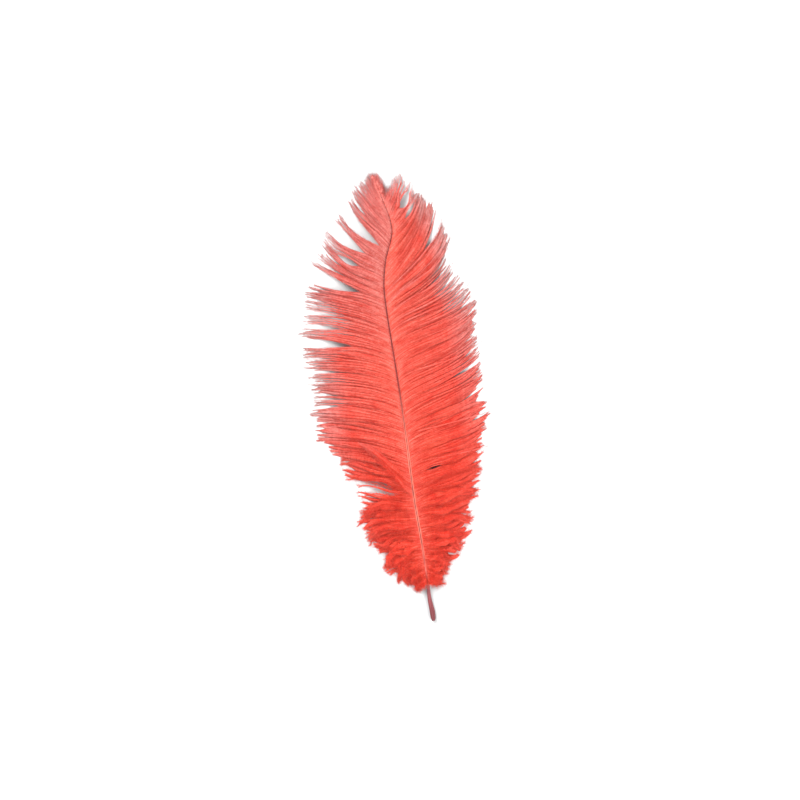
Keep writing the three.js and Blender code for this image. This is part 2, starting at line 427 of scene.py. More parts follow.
# %% Courses of the barbs
# the longest barb as a share of the way to its lock's outline, how rare short ones are, and how
# much shorter those at the sides of a lock are
REACH = 1.01
SHORT_RARITY = 1.6
LOCK_ROUNDING = 0.03
# waves along a barb, how their phase differs between streaks and between barbs, and how late
# the waves begin
WAVES = 1.3
STREAK_PHASE = 0.17
PHASE_SCATTER = 0.12
WAVE_GROWTH = 1.5
# how far a barb leans from its course, and how far and how often one has strayed altogether
LEAN = 0.12
STRAYING = 2.4
STRAY_SHARE = 0.05


def courses_of(table, root_y, side, slits, chance):
    """The place on the shaft table that each joint of each barb takes, and what else is known."""
    count = len(root_y)
    lock, across, parting = places_in_locks(table, root_y)
    ragged, waving, _ = along(NATURE, root_y).T
    reach = REACH - ragged * chance.random(count) ** SHORT_RARITY - LOCK_ROUNDING * across[:, 0] ** 2
    share = reach[:, None] * (np.arange(JOINTS + 1) / JOINTS)[None, :] ** JOINT_SPREAD
    # A lock that parts early narrows quickly, so that a clear gap opens beside it. Where locks
    # part only at their ends, the edge is a fringe.
    parted = np.clip((share - parting) / (1 - parting), 0, 1)
    narrowing = along(NARROWING, parting)[..., 0]
    width = 1 - narrowing * (1 - (1 - parted) ** 3)
    streak = np.round(root_y / STREAK + chance.uniform(-STREAK_SCATTER, STREAK_SCATTER, count))
    clinging = clinging_of(share, root_y, side)
    own = root_y[:, None] + (STREAK * streak - root_y)[:, None] * clinging
    crest = table[lock, :1]
    course, bare = beside_slits(crest + (own - crest) * width, share, root_y, side, slits)

    phase = STREAK_PHASE * streak + PHASE_SCATTER * chance.standard_normal(count)
    wave = np.sin(2 * math.pi * (WAVES * share + phase[:, None]))
    course = course + waving[:, None] * share**WAVE_GROWTH * wave
    stray = STRAYING * chance.standard_normal(count) * (chance.random(count) < STRAY_SHARE)
    lean = LEAN * chance.standard_normal(count)
    course = course + (stray[:, None] * share + lean[:, None]) * share
    known = {"root_y": root_y, "share": share, "lock": lock, "parted": parted, "bare": bare}
    return course, streak, across, width, known

# %% The barbs of one vane
# how high the middle of a lock stands above its sides, and how much that differs between locks
CREST_RISE = 0.85
CREST_VARIETY = 0.4
CREST_RHYTHM = 2.4
EDGE_FALL = 0.35
# streaks lie in layers over and under each other, most of all in the tufts at the base
LAYERING = [[0, 0.1], [0.15, 0.25], [0.5, 0.6], [0.85, 0.5], [1, 0.15]]
LAYER_RHYTHM = 7.3
STREAK_LAYER = 0.5
BARB_LAYER = 0.4
LAYER_HEIGHT = 0.65
TUFT_LAYER_GAIN = 0.75
TUFT_END = (34, 54)
# between these two y the vane gets flatter, by these shares
FLATTENING = (50, 95)
CREST_LOSS = 0.4
LAYER_LOSS = 0.15
# the down at the base is curly
CURL = 0.55
CURLS = 2.3
CURL_END = (32, 60)
CURL_GROWTH = (0.15, 0.6)
LOWEST_BARB = 0.16


def barbs_of(locks, side, seed, tip_height=0.0, slits=SLITS):
    """The barbs of one vane: points by barb and joint, and what is known about each of them."""
    chance = np.random.default_rng(seed)
    table = np.array(locks, dtype=float)
    start, end = table[0, 0] - END_ROOM, table[-1, 0] + END_ROOM
    root_y = np.arange(start + ROOT_SCATTER, end - ROOT_SCATTER, BARB_PITCH)
    count = len(root_y)
    root_y = root_y + chance.uniform(-ROOT_SCATTER, ROOT_SCATTER, count)
    course, streak, across, width, known = courses_of(table, root_y, side, slits, chance)
    share = known["share"]
    points = barb_points(locks, course, share, side, tip_height)

    flatter = smooth_step(*FLATTENING, root_y)[:, None]
    variety = 1 + CREST_VARIETY * np.sin(CREST_RHYTHM * known["lock"])
    rise = (CREST_RISE * variety * height_kept(root_y))[:, None]
    own_layer = chance.uniform(-BARB_LAYER, BARB_LAYER, count)
    layer = np.sin(LAYER_RHYTHM * streak) * STREAK_LAYER + own_layer
    tufted = 1 - smooth_step(*TUFT_END, root_y)[:, None]
    layer = layer[:, None] * (LAYER_HEIGHT - LAYER_LOSS * flatter + TUFT_LAYER_GAIN * tufted)
    crest_shape = (1 - across * width) * np.sin(math.pi * share)
    points[..., 2] += rise * crest_shape * (1 - CREST_LOSS * flatter)
    points[..., 2] += layer * along(LAYERING, share)[..., 0] - EDGE_FALL * share * across

    curl = CURL * (1 - smooth_step(*CURL_END, root_y))[:, None] * smooth_step(*CURL_GROWTH, share)
    turn = 2 * math.pi * (CURLS * share + chance.random(count)[:, None])
    points[..., 0] += curl * np.cos(turn)
    points[..., 1] += curl * np.sin(turn)
    points[..., 2] = np.maximum(points[..., 2], LOWEST_BARB)
    fullness = along(LEFT_FULLNESS if side > 0 else RIGHT_FULLNESS, root_y)[:, 0]
    return {"points": points, "fullness": fullness, **known}


left = barbs_of(LEFT_LOCKS, 1, seed=11)
right = barbs_of(RIGHT_LOCKS, -1, seed=12)
crossing = barbs_of(CROSSING_LOCKS, 1, seed=13, tip_height=CROSSING_HEIGHT, slits=())
print("barbs on the left, right and crossing:", [len(v["root_y"]) for v in (left, right, crossing)])

# %% Loose hairs
# Hairs that have left their lock: side, y of the root, and x and y of the point
STRAYS = [
    (1, 130.4, -49.4, 145.0), (1, 146.5, -40.2, 162.0),
    (1, 152.0, -35.4, 170.4), (1, 112.0, -54.0, 119.0), (1, 115.2, -52.8, 125.2),
    (1, 99.2, -52.6, 105.6), (1, 90.0, -51.0, 95.2), (1, 51.0, -29.0, 56.2),
    (1, 50.6, -24.6, 55.6), (1, 50.2, -31.4, 54.4), (-1, 126.4, 7.4, 154.6),
    (-1, 127.4, 6.2, 156.0), (-1, 131.2, 3.6, 163.0), (-1, 122.0, 8.6, 146.2),
    (-1, 118.0, 12.6, 139.4), (-1, 115.6, 14.6, 136.6), (-1, 112.2, 17.0, 132.4),
    (-1, 96.2, 19.6, 113.0), (-1, 74.0, 23.4, 84.6), (-1, 62.0, 22.0, 70.6),
]
STRAY_HEIGHT = 0.6
STRAY_BEND = 0.5
STRAY_FULLNESS = 0.35


def strays_of(strays, seed):
    """Single barbs from the shaft to the given points, each with a slight bend of its own."""
    chance = np.random.default_rng(seed)
    share = np.broadcast_to(np.arange(JOINTS + 1) / JOINTS, (len(strays), JOINTS + 1))
    points = np.empty((len(strays), JOINTS + 1, 3))
    for k, (side, root_y, x, y) in enumerate(strays):
        aim = [[root_y - 1, x, y, 1], [root_y + 1, x, y, 1]]
        points[k] = barb_points(aim, np.full(JOINTS + 1, root_y), share[k], side, STRAY_HEIGHT)
        bend = chance.normal(0, STRAY_BEND) * np.sin(2 * math.pi * share[k]) * share[k]
        points[k, :, 1] += bend
    root_y = np.array([stray[1] for stray in strays])
    none = np.zeros_like(share)
    return {"points": points, "root_y": root_y, "share": share, "lock": np.arange(len(strays)),
            "parted": none, "fullness": np.full(len(strays), STRAY_FULLNESS), "bare": none}


loose = strays_of(STRAYS, seed=14)
print(len(STRAYS), "loose hairs")

# %% [markdown]
# ## From points to meshes
#
# One helper makes an object from points, triangles and a UV map, all given as arrays. The map lays
# every barb out as a row: across the map is the share of the barb's length, and up it is the place
# on the shaft. A material can then colour a barb from its root to its point, and barbs next to
# each other a little differently, without any picture. The other helpers tell which way a barb
# runs at each of its joints, so that things can be built round it.

# %% Mesh helpers
BAKE_MAP = "OFBake"


def mesh_piece(name, points, triangles, uv):
    """An object from points in millimetres, triangles of point numbers, and a UV place per point."""
    mesh = bpy.data.meshes.new(name)
    mesh.vertices.add(len(points))
    mesh.vertices.foreach_set("co", metres(points).astype(np.float32).ravel())
    mesh.loops.add(triangles.size)
    mesh.loops.foreach_set("vertex_index", triangles.astype(np.int32).ravel())
    mesh.polygons.add(len(triangles))
    mesh.polygons.foreach_set("loop_start", np.arange(0, triangles.size, 3, dtype=np.int32))
    mesh.update(calc_edges=True)
    layer = mesh.uv_layers.new(name=BAKE_MAP)
    layer.data.foreach_set("uv", uv[triangles.ravel()].astype(np.float32).ravel())
    piece = bpy.data.objects.new(name, mesh)
    bpy.context.scene.collection.objects.link(piece)
    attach(piece, "root")
    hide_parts("plume")
    print(f"{name}: {len(triangles)} triangles")
    return piece


def unit(vectors):
    """The same directions with a length of one."""
    return vectors / np.maximum(np.linalg.norm(vectors, axis=-1, keepdims=True), 1e-9)


def frames(points):
    """At each joint of each barb: the way it runs, the way across it, and the way up from it."""
    onward = unit(np.gradient(points, axis=1))
    across = unit(np.cross(onward, [0.0, 0.0, 1.0]))
    return onward, across, np.cross(across, onward)

# %% [markdown]
# ## The barbs' own stems
#
# Under a lens a barb is a flat, tapering stem. Each one here is a tube with four sides, flattened,
# closed at its root inside the shaft and drawn out thin. All the stems of a side are one mesh.

# %% Stems
STEM_HALF_WIDTH = [[0, 0.15], [0.12, 0.13], [0.5, 0.11], [0.9, 0.08], [1, 0.04]]
STEM_HALF_HEIGHT = [[0, 0.09], [0.5, 0.05], [1, 0.02]]
# the map's height stands for so many millimetres of shaft, and a stem takes up this much of it
MAP_LENGTH = 180
STEM_ROW_HALF = 0.0008


def flat_tubes(name, points, vane, half_width, half_height):
    """A flat tube along every row of points, with the vane's own map places."""
    _, across, upward = frames(points)
    wide, high = across * half_width, upward * half_height
    corners = points[:, :, None, :] + np.stack([wide, high, -wide, -high], axis=2)
    count, joints = vane["share"].shape
    number = np.arange(count * joints * 4).reshape(count, joints, 4)
    faces = []
    for k in range(4):
        a, b = number[:, :-1, k], number[:, :-1, (k + 1) % 4]
        c, d = number[:, 1:, (k + 1) % 4], number[:, 1:, k]
        faces += [np.stack([a, b, c], axis=-1), np.stack([a, c, d], axis=-1)]
    for joint, order in ((0, (0, 3, 2, 1)), (-1, (0, 1, 2, 3))):
        end = number[:, joint, :][:, order]
        faces += [end[:, [0, 1, 2]], end[:, [0, 2, 3]]]
    triangles = np.concatenate([part.reshape(-1, 3) for part in faces])
    row = (vane["root_y"] / MAP_LENGTH)[:, None, None] + np.array([-1, 0, 1, 0]) * STEM_ROW_HALF
    uv = np.stack(np.broadcast_arrays(vane["share"][:, :, None], row), axis=-1)
    return mesh_piece(name, corners.reshape(-1, 3), triangles, uv.reshape(-1, 2))


def stems(name, vane):
    """The stems of all the barbs of a vane, tapering to their points."""
    wide = along(STEM_HALF_WIDTH, vane["share"])
    high = along(STEM_HALF_HEIGHT, vane["share"])
    return flat_tubes(name, vane["points"], vane, wide, high)


barb_pieces = [
    stems("left_barbs", left),
    stems("right_barbs", right),
    stems("crossing_barbs", crossing),
    stems("loose_barbs", loose),
]

# %% [markdown]
# ## The mat below
#
# Down at the foot of the barbules is matted, so no daylight comes between the barbs except near
# their points. Making that of single hairs would take millions. The same tubes do it, made thin
# and just wide enough to meet, and laid a little under the stems: they fill the gaps and take the
# shadows of the hairs. Between two locks they stop where the locks part.

# %% Matted down
MAT_DROP = 0.22
MAT_HALF_HEIGHT = 0.04
MAT_OVERLAP = 0.62
NARROWEST_GAP = 0.3
WIDEST_GAP = 2.6
LOWEST_MAT = 0.1
# how wide the mat is along a barb, where the vane keeps its down and where it thins out
LOW_MAT_REACH = [[0, 1], [0.6, 1], [0.8, 0.75], [0.92, 0.4], [1, 0.04]]
HIGH_MAT_REACH = [[0, 1], [0.5, 0.9], [0.75, 0.35], [0.9, 0.1], [1, 0.03]]
MAT_THINNING = (0.3, 0.6)
# the y, and the fullness, between which the down goes from thinning nowhere to thinning outwards
FADING_START = (70, 110)
FADING_FULLNESS = (1, 1.5)


def fading_of(root_y, fullness):
    """How much the down thins out towards the edge: not at all near the base or where it is full."""
    return smooth_step(*FADING_START, root_y) * (1 - smooth_step(*FADING_FULLNESS, fullness))


def mat(name, vane):
    """A thin layer under the barbs of a vane, as wide at each joint as the gap to the next barb."""
    points, share, lock = vane["points"], vane["share"], vane["lock"]
    gap = np.linalg.norm(points[1:] - points[:-1], axis=-1)
    apart = (lock[1:] != lock[:-1])[:, None] & (vane["parted"][1:] > 0)
    gap = np.clip(np.where(apart, NARROWEST_GAP, gap), NARROWEST_GAP, WIDEST_GAP)
    widest = np.maximum(np.vstack([gap[:1], gap]), np.vstack([gap, gap[-1:]]))
    fading = fading_of(vane["root_y"], vane["fullness"])[:, None]
    reach = along(LOW_MAT_REACH, share)[..., 0] * (1 - fading)
    reach = reach + along(HIGH_MAT_REACH, share)[..., 0] * fading
    kept = np.minimum(vane["fullness"], 1)[:, None]
    reach = reach * (1 - (1 - kept) * smooth_step(*MAT_THINNING, share))
    wide = (MAT_OVERLAP * widest * reach * (1 - vane["bare"]))[..., None]
    below = points - [0, 0, MAT_DROP]
    below[..., 2] = np.maximum(below[..., 2], LOWEST_MAT)
    return flat_tubes(name, below, vane, wide, MAT_HALF_HEIGHT)


# the mat's finish is a little darker than the barbs', as painted shade in the gaps
mat_pieces = [mat("left_mat", left), mat("right_mat", right), mat("crossing_mat", crossing)]

# %% [markdown]
# ## Barbules
#
# An ostrich's barbules have no hooks, so they stand free and make the plume downy. There are far
# too many to model by hand: each is a needle of four triangles. Arrays scatter them along the
# barbs, half of them on each side, slanting forwards at an angle that closes up towards the point.
# They are short and neat beside the shaft and longest halfway out.

# %% How barbules grow
# between two barbules on one side of a barb, on average
STEP = 0.21
# share of the barb's length, then millimetres, degrees off the barb, and the share that is left
# where the vane keeps its down and where it thins out
BARBULE_LENGTH = [[0, 0.8], [0.12, 1.5], [0.4, 2.5], [0.8, 2.3], [1, 1.3]]
BARBULE_SLANT = [[0, 44], [0.3, 24], [0.8, 15], [1, 10]]
LOW_BARBULES = [[0, 0.8], [0.5, 0.9], [0.8, 1], [1, 0.9]]
HIGH_BARBULES = [[0, 0.9], [0.5, 0.95], [0.8, 0.85], [1, 0.65]]
BARBULE_HALF_WIDTH = 0.045
BARBULE_VARIETY = (0.65, 1.25)
BARBULE_THINNING = (0.35, 0.65)
BASE_TURNS = (0, 2 * math.pi / 3, 4 * math.pi / 3)
# none grow on the shaft, within this many of its radii, nor on the barb's very end, and a slit
# lacks them by its bareness times this
SHAFT_FREE = 1.1
LAST_PLACE = 0.995
SLIT_LACK = 1.2
# between these two y the down goes from fluffy to neat. In both kinds the degrees differ by so
# much, and the fluffy kind adds these.
FLUFFY_END = (45, 70)
SLANT_SCATTER = 6
TILT_SCATTER = 15
FLUFFY_SLANT = 22
FLUFFY_SLANT_SCATTER = 12
FLUFFY_TILT_SCATTER = 20
FLUFFY_LENGTH = 0.3
LOWEST_POINT = 0.05
LOWEST_CORNER = 0.03
# how far a needle reaches across the map at its base and at its point
BASE_ROW_HALF = 0.0007
POINT_ROW = 0.0012


def grown_barbules(vane, chosen, chance, plenty):
    """Numbers of barbs and places along them, by chance, as densely as down grows there."""
    root_y, full = vane["root_y"][chosen], vane["fullness"][chosen]
    lengths = np.linalg.norm(np.diff(vane["points"][chosen], axis=1), axis=-1).sum(axis=1)
    count = (lengths / STEP * 2 * along(NATURE, root_y)[:, 2] * plenty).astype(int)
    barb = np.repeat(np.arange(len(count)), count)
    free = SHAFT_FREE * along(SHAFT, root_y)[:, 2] / lengths
    position = free[barb] + chance.random(len(barb)) * (LAST_PLACE - free[barb])
    fading = fading_of(root_y, full)[barb]
    left_over = along(LOW_BARBULES, position)[:, 0] * (1 - fading)
    left_over = left_over + along(HIGH_BARBULES, position)[:, 0] * fading
    thinned = 1 - (1 - np.minimum(full[barb], 1)) * smooth_step(*BARBULE_THINNING, position)
    grown = chance.random(len(barb)) < left_over * thinned
    return barb[grown], position[grown], lengths

# %% Needles
def barbules(name, vane, keep, seed, plenty=1.0):
    """The barbules of the barbs of one vane whose roots' y lies between the two ends of keep."""
    chosen = (vane["root_y"] >= keep[0]) & (vane["root_y"] < keep[1])
    points, root_y, share = (vane[key][chosen] for key in ("points", "root_y", "share"))
    chance = np.random.default_rng(seed)
    onward, across, upward = frames(points)
    barb, position, lengths = grown_barbules(vane, chosen, chance, plenty)
    joint = position * (points.shape[1] - 1)
    before = joint.astype(int)
    mix = (joint - before)[:, None]

    def between(values):
        return values[barb, before] * (1 - mix) + values[barb, before + 1] * mix

    bare = between(vane["bare"][chosen][..., None])[:, 0]
    covered = chance.random(len(barb)) > bare * SLIT_LACK
    barb, before, mix = barb[covered], before[covered], mix[covered]
    root = between(points)
    at_share = between(share[..., None])[:, 0]
    side = np.where(np.arange(len(barb)) % 2 == 0, 1.0, -1.0)[:, None]
    fluffy = 1 - smooth_step(*FLUFFY_END, root_y[barb])[:, None]
    scatter = chance.normal(0, 1, (len(barb), 1)) * (SLANT_SCATTER + FLUFFY_SLANT_SCATTER * fluffy)
    slant = np.radians(along(BARBULE_SLANT, at_share) + FLUFFY_SLANT * fluffy + scatter)
    scatter = chance.normal(0, 1, (len(barb), 1)) * (TILT_SCATTER + FLUFFY_TILT_SCATTER * fluffy)
    tilt = np.radians(scatter)
    outward = between(across) * side * np.cos(tilt) + between(upward) * np.sin(tilt)
    way = unit(between(onward) * np.cos(slant) + outward * np.sin(slant))
    length = along(BARBULE_LENGTH, at_share) * chance.uniform(*BARBULE_VARIETY, (len(barb), 1))
    length *= 1 + FLUFFY_LENGTH * fluffy
    point = root + way * length
    point[:, 2] = np.maximum(point[:, 2], LOWEST_POINT)

    sideways = unit(np.cross(way, between(upward)))
    over = np.cross(sideways, way)
    h = BARBULE_HALF_WIDTH
    base = [root + h * (sideways * math.cos(turn) + over * math.sin(turn)) for turn in BASE_TURNS]
    corners = np.stack(base + [point], axis=1)
    corners[..., 2] = np.maximum(corners[..., 2], LOWEST_CORNER)
    number = np.arange(len(barb))[:, None] * 4
    faces = [[0, 2, 1], [0, 1, 3], [1, 2, 3], [2, 0, 3]]
    triangles = np.concatenate([number + np.array(face) for face in faces])
    row = root_y[barb] / MAP_LENGTH
    reach = at_share + length[:, 0] * np.cos(slant[:, 0]) / lengths[barb]
    u = np.stack([at_share, at_share, at_share, np.minimum(reach, 1)], axis=1)
    aside = [row, row + BASE_ROW_HALF, row - BASE_ROW_HALF, row + side[:, 0] * POINT_ROW]
    uv = np.stack([u, np.stack(aside, axis=1)], axis=-1).reshape(-1, 2)
    return mesh_piece(name, corners.reshape(-1, 3), triangles, uv)


# each side is two pieces, because one would be a very large mesh
SPLIT_Y = 85
PLUME_END = 200
CROSSING_PLENTY = 0.8
down = [
    barbules("left_lower_barbules", left, (0, SPLIT_Y), seed=21),
    barbules("left_upper_barbules", left, (SPLIT_Y, PLUME_END), seed=22),
    barbules("right_lower_barbules", right, (0, SPLIT_Y), seed=23),
    barbules("right_upper_barbules", right, (SPLIT_Y, PLUME_END), seed=24),
    barbules("crossing_barbules", crossing, (0, PLUME_END), seed=25, plenty=CROSSING_PLENTY),
    barbules("loose_barbules", loose, (0, PLUME_END), seed=26),
]

# %% [markdown]
# ## The shaft
#
# The quill is a smooth horny tube, a little club-shaped at its end, and the shaft above it has a
# groove along it. In Blender such a thing is a small outline swept along a curve, with its
# thickness set point by point. Both are added as curves, and the result is turned into a mesh.

# %% Outline of the shaft
OUTLINE_POINTS = 24
GROOVE_DEPTH = 0.35
GROOVE_WIDTH = 0.46


def shaft_outline():
    """A round outline with a dent at its top, which the sweep turns into the groove."""
    bpy.ops.object.select_all(action="DESELECT")
    bpy.ops.curve.primitive_nurbs_circle_add(radius=1)
    outline = bpy.context.object
    outline.name = "shaft outline"
    outline.data.splines.remove(outline.data.splines[0])
    spline = outline.data.splines.new("POLY")
    spline.points.add(OUTLINE_POINTS - 1)
    for k, point in enumerate(spline.points):
        angle = 2 * math.pi * k / OUTLINE_POINTS
        off_top = math.atan2(math.sin(angle - math.pi / 2), math.cos(angle - math.pi / 2))
        size = 1 - GROOVE_DEPTH * math.exp(-((off_top / GROOVE_WIDTH) ** 2))
        point.co = (math.cos(angle) * size, math.sin(angle) * size, 0, 1)
    spline.use_cyclic_u = True
    return outline

# %% Shaft
SHAFT_POINTS = 90
# above 1 the points of the sweep stand closer together on the quill
POINT_SPREAD = 1.3
# y, then the share of the shaft's radius that shows between the barbs
SHAFT_SHOWING = [[0, 1], [12, 1], [22, 0.9], [60, 0.84], [100, 0.6], [180, 0.6]]
SMOOTH_ANGLE = 50
GROOVE = "groove"


def swept_shaft(outline):
    """The outline swept along the shaft's centre line, as a mesh."""
    bpy.ops.object.select_all(action="DESELECT")
    bpy.ops.curve.primitive_nurbs_path_add()
    path = bpy.context.object
    path.data.splines.remove(path.data.splines[0])
    line = path.data.splines.new("POLY")
    line.points.add(SHAFT_POINTS - 1)
    y = SHAFT[-1][0] * (np.arange(SHAFT_POINTS) / (SHAFT_POINTS - 1)) ** POINT_SPREAD
    centres = metres(shaft_point(y))
    radii = along(SHAFT, y)[:, 2] * along(SHAFT_SHOWING, y)[:, 0] / 1000
    for point, centre, radius in zip(line.points, centres, radii):
        point.co = (*centre, 1)
        point.radius = float(radius)
    path.location = (0, 0, 0)
    path.data.dimensions = "3D"
    path.data.twist_mode = "Z_UP"
    path.data.bevel_mode = "OBJECT"
    path.data.bevel_object = outline
    path.data.use_fill_caps = True
    bpy.ops.object.select_all(action="DESELECT")
    path.select_set(True)
    bpy.context.view_layer.objects.active = path
    bpy.ops.object.convert(target="MESH")
    return bpy.context.object


def mark_groove_shade(piece):
    """An attribute that is 1 along the middle of the shaft's upper side, where the material paints
    shade into the groove.
    """
    corners = np.empty(len(piece.data.vertices) * 3, dtype=np.float32)
    piece.data.vertices.foreach_get("co", corners)
    corners = corners.reshape(-1, 3) * 1000 - QUILL_END
    place = along(SHAFT, corners[:, 1])
    radius = place[:, 2] * along(SHAFT_SHOWING, corners[:, 1])[:, 0]
    aside = (corners[:, 0] - place[:, 0]) / radius
    on_top = corners[:, 2] > place[:, 1]
    strength = np.exp(-((aside / GROOVE_WIDTH) ** 4)) * on_top
    groove = piece.data.attributes.new(name=GROOVE, type="FLOAT", domain="POINT")
    groove.data.foreach_set("value", strength.astype(np.float32))


outline = shaft_outline()
shaft = swept_shaft(outline)
shaft.name = "shaft_and_quill"
bpy.data.objects.remove(outline)
bpy.ops.object.shade_smooth_by_angle(angle=math.radians(SMOOTH_ANGLE))
mark_groove_shade(shaft)
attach(shaft, "root")
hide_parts("plume")
shaft_size = [round(side * 1000, 1) for side in shaft.dimensions]
print("shaft and quill, mm:", shaft_size, len(shaft.data.polygons), "faces")

# %% [markdown]
# ## Dyed down
#
# The dye is a coral red. The down is soft and lets light through, so much of its look is light that
# has passed through other barbs: a plain glossy surface would look like plastic. The material mixes
# a soft surface shader with a translucent one. Its colour follows the barb from a pink band beside
# the shaft, through full coral, to points that are pale high up on the plume and are greyed there
# partly by painted shade. The stems are paler, partly by a painted highlight, and the layers below
# them are darker by painted shade. Two noises drawn out along the barbs make the streaks.

# %% Colours and nodes
# the sockets of a Mix node that mixes colours, which has other ones for numbers before them
MIX_SHARE, FIRST_COLOUR, SECOND_COLOUR = 0, 6, 7
MIXED_COLOUR = 2
WHITE = (255, 255, 255)


def dye(red, green, blue):
    """A colour as seen on screen, 0 to 255, as Blender's linear light."""
    seen = np.array([red, green, blue]) / 255
    linear = np.where(seen <= 0.04, seen / 12.92, ((seen + 0.055) / 1.055) ** 2.4)
    return (*linear.tolist(), 1.0)


def grey(share):
    """A share as a colour, for ramps and sockets that pass a number on as one."""
    return (share, share, share, 1)


def add(tree, kind, **inputs):
    """A node of that kind with values on its inputs, named with underscores for blanks."""
    made = tree.nodes.new(kind)
    for name, value in inputs.items():
        made.inputs[name.replace("_", " ")].default_value = value
    return made


def ramp(tree, source, stops):
    """A colour ramp over a value, with (place, colour) stops."""
    made = tree.nodes.new("ShaderNodeValToRGB")
    elements = made.color_ramp.elements
    for k, (place, colour) in enumerate(stops):
        element = elements[k] if k < 2 else elements.new(place)
        element.position = place
        element.color = colour
    tree.links.new(source, made.inputs["Fac"])
    return made.outputs["Color"]


def mixed(tree, kind, amount, first, second):
    """Two colours mixed, by a number or by another node's value."""
    made = tree.nodes.new("ShaderNodeMix")
    made.data_type = "RGBA"
    made.blend_type = kind
    for number, value in ((MIX_SHARE, amount), (FIRST_COLOUR, first), (SECOND_COLOUR, second)):
        if isinstance(value, bpy.types.NodeSocket):
            tree.links.new(value, made.inputs[number])
        else:
            made.inputs[number].default_value = value
    return made.outputs[MIXED_COLOUR]

# %% Down finish
# shares of a barb's length, and the colours there: low down, high up and at the top of the plume; the
# pale points high up and at the top are greyed partly by painted shade, the shadow that shows through
# their thin ends
ROOT_TO_POINT = (0.0, 0.07, 0.28, 0.66, 0.85, 1.0)
LOW_DOWN = (
    (226, 88, 70), (250, 110, 88), (248, 90, 64), (250, 86, 62), (250, 100, 80), (248, 118, 100),
)
HIGH_DOWN = (
    (226, 98, 82), (244, 120, 100), (246, 110, 90), (246, 116, 100), (230, 158, 153), (212, 182, 182),
)
TOP_DOWN = (
    (206, 104, 97), (226, 142, 134), (226, 136, 129), (222, 129, 124), (210, 144, 144), (197, 160, 163),
)
# the pale pink that the stems are mixed with: partly their own lighter colour, partly a painted
# highlight on the top layer
PALE_AND_HIGHLIGHT_PINK = (255, 200, 190)
DOWN_SHEEN = (255, 190, 180)
# streaks over the length of the plume, changes along a barb, and the colour of the darkest ones
STREAKS = ((170, 4, (238, 172, 162)), (700, 40, (236, 190, 182)))
STREAK_RANGE = (0.35, 0.58)
LIGHT_THROUGH = 0.4


def down_material(name, pale, painted_shade, paling, crown):
    """Soft down: pale lightens it, partly as a painted highlight, and the next number darkens it, as
    painted shade on the layers lying lower. The colours go from low to high between the two shares of
    the shaft in paling, and on to those of the top between the two in crown."""
    material = bpy.data.materials.new(name)
    material.use_nodes = True
    tree = material.node_tree
    surface = tree.nodes["Principled BSDF"]
    surface.inputs["Roughness"].default_value = 0.55
    surface.inputs["Sheen Weight"].default_value = 0.1
    surface.inputs["Sheen Tint"].default_value = dye(*DOWN_SHEEN)
    surface.inputs["Specular IOR Level"].default_value = 0.3
    rows = tree.nodes.new("ShaderNodeUVMap")
    rows.uv_map = BAKE_MAP
    parts = tree.nodes.new("ShaderNodeSeparateXYZ")
    tree.links.new(rows.outputs["UV"], parts.inputs[0])
    low_down, high_down, top_down = (
        ramp(tree, parts.outputs["X"], [(u, dye(*c)) for u, c in zip(ROOT_TO_POINT, colours)])
        for colours in (LOW_DOWN, HIGH_DOWN, TOP_DOWN)
    )
    colour = low_down
    for (start, end), next_colour in ((paling, high_down), (crown, top_down)):
        passage = ramp(tree, parts.outputs["Y"], [(start, grey(0)), (end, grey(1))])
        colour = mixed(tree, "MIX", passage, colour, next_colour)
    # the stems on top are paler, partly by a painted highlight
    colour = mixed(tree, "MIX", pale, colour, dye(*PALE_AND_HIGHLIGHT_PINK))
    # painted shade: the barbules, and most of all the mat below them, are darker, as if in the shadow
    # of the stems
    colour = mixed(tree, "MULTIPLY", 1.0, colour, grey(painted_shade))
    darkest, plain = STREAK_RANGE
    for across_rows, along_rows, shade in STREAKS:
        stretch = add(tree, "ShaderNodeMapping", Scale=(along_rows, across_rows, 1))
        tree.links.new(rows.outputs["UV"], stretch.inputs["Vector"])
        streaks = add(tree, "ShaderNodeTexNoise", Scale=1.0, Detail=3.0, Roughness=0.65)
        tree.links.new(stretch.outputs["Vector"], streaks.inputs["Vector"])
        tone = ramp(tree, streaks.outputs["Fac"], [(darkest, dye(*shade)), (plain, dye(*WHITE))])
        colour = mixed(tree, "MULTIPLY", 1.0, colour, tone)
    tree.links.new(colour, surface.inputs["Base Color"])
    through = tree.nodes.new("ShaderNodeBsdfTranslucent")
    tree.links.new(colour, through.inputs["Color"])
    blend = tree.nodes.new("ShaderNodeMixShader")
    blend.inputs[0].default_value = LIGHT_THROUGH
    tree.links.new(surface.outputs[0], blend.inputs[1])
    tree.links.new(through.outputs[0], blend.inputs[2])
    tree.links.new(blend.outputs[0], tree.nodes["Material Output"].inputs["Surface"])
    return material

# %% Down on its pieces
# The left side turns pale further down than the right one, which keeps more of the dye.
PALING = {"left": (0.29, 0.46), "right": (0.32, 0.66)}
CROWN = {"left": (0.55, 0.8), "right": (0.84, 0.94)}
# the pieces, the finish's name, how much paler it is (partly a painted highlight on the stems on top),
# and how much of its brightness it keeps under painted shade, which darkens the lower layers
FINISHES = (
    (barb_pieces, "dyed barbs", 0.2, 1.0),
    (down, "dyed down", 0.0, 0.95),
    (mat_pieces, "matted down", 0.0, 0.93),
)
for pieces, name, pale, painted_shade in FINISHES:
    for side in PALING:
        finish = down_material(f"{name} {side}", pale, painted_shade, PALING[side], CROWN[side])
        for piece in pieces:
            if piece.name.startswith("right") == (side == "right"):
                piece.data.materials.append(finish)
                print(piece.name, "has", finish.name)

